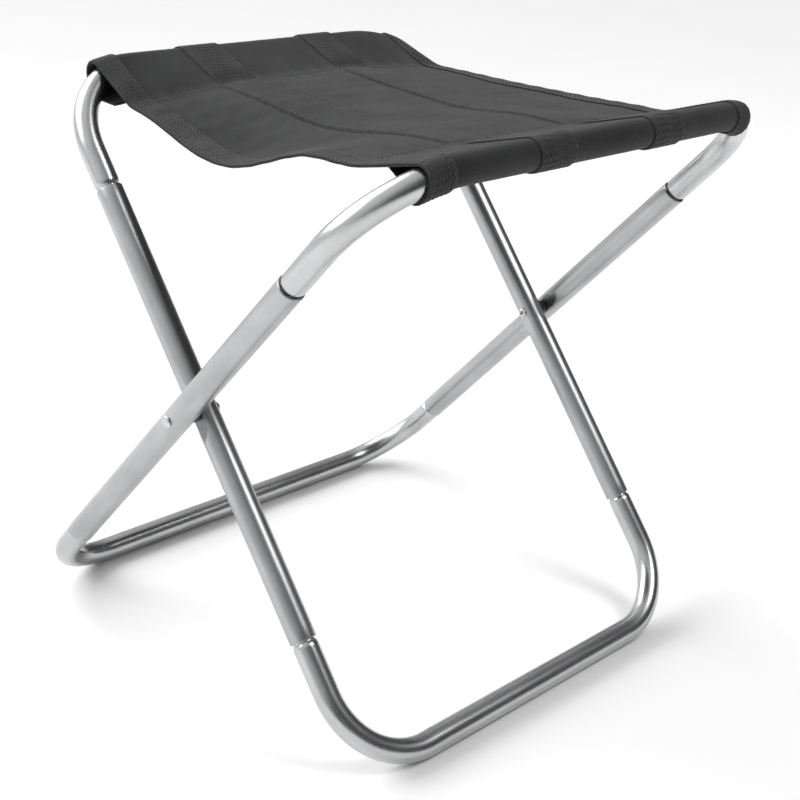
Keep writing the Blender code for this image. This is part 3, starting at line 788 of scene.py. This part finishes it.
def stitched_lines():
    """Every line of stitching: along the straps on top of the seat, round the bars, and across at the
    seams, between the straps."""
    cloth_face, strap_face = 0.5 * CLOTH, OFF_CLOTH + 0.5 * STRAP
    bars = []
    for line, step_in, on_top in ((0, 1, True), (1, -1, True), (2, 1, False), (3, -1, False),
                                  (4, 1, False), (5, -1, False), (6, 1, True), (7, -1, True)):
        close_rows = LINES[line] + step_in * FROM_EDGE + np.array([-0.0002, 0.0, 0.0002])
        points, normal = cloth_surface(close_rows)
        points, normal = points[:, 1], normal[:, 1]
        on_strap, on_cloth = points + strap_face * normal, points + cloth_face * normal
        if on_top:
            bars.append(stitches(on_strap, normal))
            continue
        bars.append(stitches(on_cloth[WRAP + 2:-WRAP - 2], normal[WRAP + 2:-WRAP - 2]))
        bars.append(stitches(on_strap[WRAP - WRAP_UPPER:WRAP - 1], normal[WRAP - WRAP_UPPER:WRAP - 1]))
        bars.append(stitches(on_strap[-WRAP + 1:WRAP_UPPER - WRAP], normal[-WRAP + 1:WRAP_UPPER - WRAP]))
    rows = cloth_rows()
    for column in (WRAP + 1, -WRAP - 2):
        on_cloth = cloth_points[column] + cloth_face * cloth_normals[column]
        for low, high in ((1, 2), (3, 4), (5, 6)):
            between = (rows > LINES[low] + 0.001) & (rows < LINES[high] - 0.001)
            bars.append(stitches(on_cloth[between], cloth_normals[column][between]))
    return np.concatenate(bars)


def dark_thread():
    """Twisted thread: slanting ridges and a slight sheen."""
    material, nodes, links, shader, cut = new_material("dark_thread", (0.05, 0.05, 0.052), 0.6, 0.0)
    ply = scaled_noise(nodes, links, cut.outputs["UV"], (2600.0, 5200.0, 1.0), 2.0)
    links.new(ranged(nodes, links, ply, 0.45, 0.75), shader.inputs["Roughness"])
    two_tone(nodes, links, ply, (0.024, 0.024, 0.025), (0.082, 0.084, 0.086), shader.inputs["Base Color"])
    bumped(nodes, links, shader, ply, 0.00004, 0.6)
    return material


stitching = add_piece("stitching", stitched_mesh("stitching", stitched_lines()), dark_thread())
bend_with_fold(stitching)

# ---- Floor, light and camera --------------------------------------------------------------------
# A plain pale floor and soft light: a lamp from the left, one high on the right, a soft sun, and a surround
# that is bright on the left and dim on the right. The camera stands at the corner by the outer seat bar.


def pale_floor():
    """Matt white with a trace of unevenness."""
    material, nodes, links, shader, cut = new_material("pale_floor", (0.94, 0.94, 0.94), 0.9, 0.0)
    nodes.remove(cut)
    place = nodes.new("ShaderNodeTexCoord")
    patches = scaled_noise(nodes, links, place.outputs["Object"], (3.0, 3.0, 3.0), 2.0)
    two_tone(nodes, links, patches, (0.93, 0.93, 0.93), (0.96, 0.96, 0.96), shader.inputs["Base Color"])
    return material


bpy.ops.mesh.primitive_plane_add(size=80.0)
floor = bpy.context.object
floor.name = "floor"
floor.data.materials.append(pale_floor())


def soft_lamp(name, place, size, power):
    """A square lamp that faces the middle of the stool."""
    data = bpy.data.lights.new(name, "AREA")
    data.size = size
    data.energy = power
    lamp = bpy.data.objects.new(name, data)
    bpy.context.scene.collection.objects.link(lamp)
    lamp.location = place
    lamp.rotation_euler = (Vector((0.0, 0.0, 0.2)) - Vector(place)).to_track_quat("-Z", "Y").to_euler()


def studio_surround():
    """World light: the direction's part towards the left and up sets the strength between dim and bright."""
    world = bpy.data.worlds.new("studio")
    world.use_nodes = True
    nodes, links = world.node_tree.nodes, world.node_tree.links
    place = nodes.new("ShaderNodeTexCoord")
    toward = nodes.new("ShaderNodeVectorMath")
    toward.operation = "DOT_PRODUCT"
    toward.inputs[1].default_value = (-0.62, -0.55, 0.56)
    links.new(place.outputs["Generated"], toward.inputs[0])
    ramp = nodes.new("ShaderNodeValToRGB")
    ramp.color_ramp.elements[0].position = 0.0
    ramp.color_ramp.elements[0].color = (0.09, 0.09, 0.093, 1.0)
    ramp.color_ramp.elements[1].position = 0.62
    ramp.color_ramp.elements[1].color = (1.0, 1.0, 1.0, 1.0)
    links.new(toward.outputs["Value"], ramp.inputs["Fac"])
    links.new(ramp.outputs["Color"], nodes["Background"].inputs["Color"])
    nodes["Background"].inputs["Strength"].default_value = 0.8
    bpy.context.scene.world = world


studio_surround()
soft_lamp("left_lamp", (-1.1, -1.5, 1.3), 0.8, 13.0)
soft_lamp("right_lamp", (1.0, 0.55, 1.6), 0.7, 13.0)
sun = bpy.data.objects.new("sky_lamp", bpy.data.lights.new("sky_lamp", "SUN"))
sun.data.energy = 2.2
sun.data.angle = np.radians(50.0)
sun.rotation_euler = (np.radians(12.0), np.radians(-52.0), 0.0)
bpy.context.scene.collection.objects.link(sun)
bpy.context.scene.view_settings.view_transform = "Standard"

CAMERA_FROM_PIVOT = np.array([0.60945, -0.60567, 0.35251])
CAMERA_TURN = np.radians(44.213)
CAMERA_RISE = np.radians(21.649)
CAMERA_ROLL = np.radians(3.977)
camera_data = bpy.data.cameras.new("camera")
camera_data.lens = 64.97
camera_data.sensor_width = 36.0
camera_data.shift_x = -0.0097
camera_data.shift_y = -0.0748
camera = bpy.data.objects.new("camera", camera_data)
bpy.context.scene.collection.objects.link(camera)
forward = np.array([
    -np.sin(CAMERA_TURN) * np.cos(CAMERA_RISE), np.cos(CAMERA_TURN) * np.cos(CAMERA_RISE), -np.sin(CAMERA_RISE)])
level = np.array([np.cos(CAMERA_TURN), np.sin(CAMERA_TURN), 0.0])
upright = np.cross(level, forward)
right = np.cos(CAMERA_ROLL) * level + np.sin(CAMERA_ROLL) * upright
top = -np.sin(CAMERA_ROLL) * level + np.cos(CAMERA_ROLL) * upright
turned_camera = Matrix(np.stack([right, top, -forward], 1).tolist()).to_4x4()
camera.matrix_world = Matrix.Translation((PIVOT + CAMERA_FROM_PIVOT).tolist()) @ turned_camera
bpy.context.scene.camera = camera
